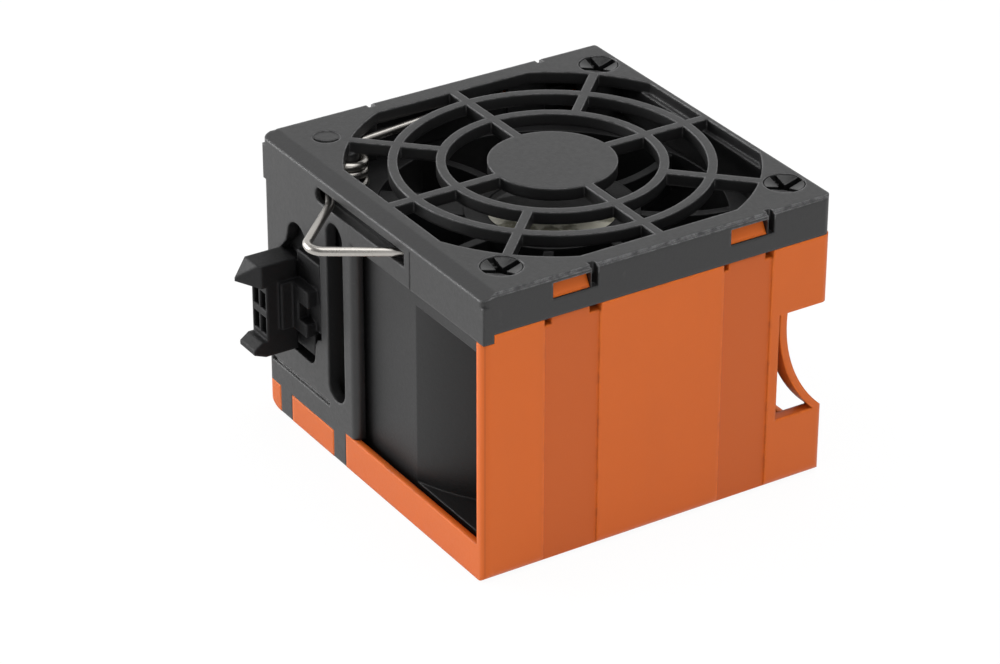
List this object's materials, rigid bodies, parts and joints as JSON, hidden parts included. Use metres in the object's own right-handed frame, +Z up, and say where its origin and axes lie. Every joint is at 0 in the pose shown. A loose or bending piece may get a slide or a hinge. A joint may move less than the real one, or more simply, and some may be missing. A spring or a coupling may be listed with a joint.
{
  "type": "server fan module",
  "caption": "Hot-swap fan module: a square axial fan in an orange shroud under a black grille cover, with a sprung wire latch and a floating plug.",
  "frame": {"origin": "on the fan's axis in the plane of the base, at the centre of the four corner holes", "axes": "+Z up along the fan axis towards the grille; -Y towards the connector face; +Y towards the grip side; +X and -X the side walls"},
  "size_m": [0.064, 0.0718, 0.0476],
  "materials": {
    "orange_shell": "satin moulded",
    "black_cover": "fine satin moulded",
    "black_rivet": "satin",
    "fan_body": "satin moulded",
    "fan_blades": "satin moulded",
    "steel": "plain",
    "magnet": "bonded ferrite",
    "bearing_steel": "ground",
    "brass": "machined",
    "core_iron": "laminated",
    "bobbin": "moulded",
    "copper": "enamelled wire",
    "board": "solder mask",
    "board_components": "moulded",
    "label": "bare film",
    "spring_wire": "bright drawn",
    "connector": "matt moulded",
    "contact": "plated",
    "lead_red": "insulation",
    "lead_black": "insulation",
    "lead_yellow": "insulation",
    "lead_blue": "insulation"
  },
  "bodies": {
    "housing": {"orange_shroud": "orange_shell", "grille_cover": "black_cover", "corner_rivets": "black_rivet", "fan_frame": "fan_body", "lower_bearing_outer": "bearing_steel", "lower_bearing_balls": "bearing_steel", "upper_bearing_outer": "bearing_steel", "upper_bearing_balls": "bearing_steel", "bearing_tube": "brass", "preload_washer": "steel", "stator_core": "core_iron", "winding_bobbins": "bobbin", "stator_windings": "copper", "winding_pins": "brass", "circuit_board": "board", "board_parts": "board_components", "hub_label": "label", "spring_coil": "spring_wire", "lead_red": "lead_red", "lead_black": "lead_black", "lead_yellow": "lead_yellow", "lead_blue": "lead_blue"},
    "rotor": {"impeller": "fan_blades", "rotor_yoke": "steel", "rotor_magnet": "magnet", "rotor_shaft": "steel", "lower_bearing_inner": "bearing_steel", "upper_bearing_inner": "bearing_steel", "retaining_clip": "steel"},
    "latch": {"latch_loop": "spring_wire"},
    "connector": {"connector_body": "connector", "connector_contacts": "contact"}
  },
  "joints": [
    {"name": "rotor_spin", "type": "hinge", "parent": "housing", "child": "rotor", "pos_m": [0, 0, 0.02], "axis": [0, 0, 1], "continuous": true},
    {"name": "latch_press", "type": "hinge", "parent": "housing", "child": "latch", "pos_m": [-0.023, -0.0226, 0.04], "axis": [0, 0, 1], "range_deg": [0, 20], "stiffness_Nm_per_rad": 0.01},
    {"name": "connector_float", "type": "slide", "parent": "housing", "child": "connector", "axis": [1, 0, 0], "range_m": [-0.0005, 0.0005]}
  ]
}
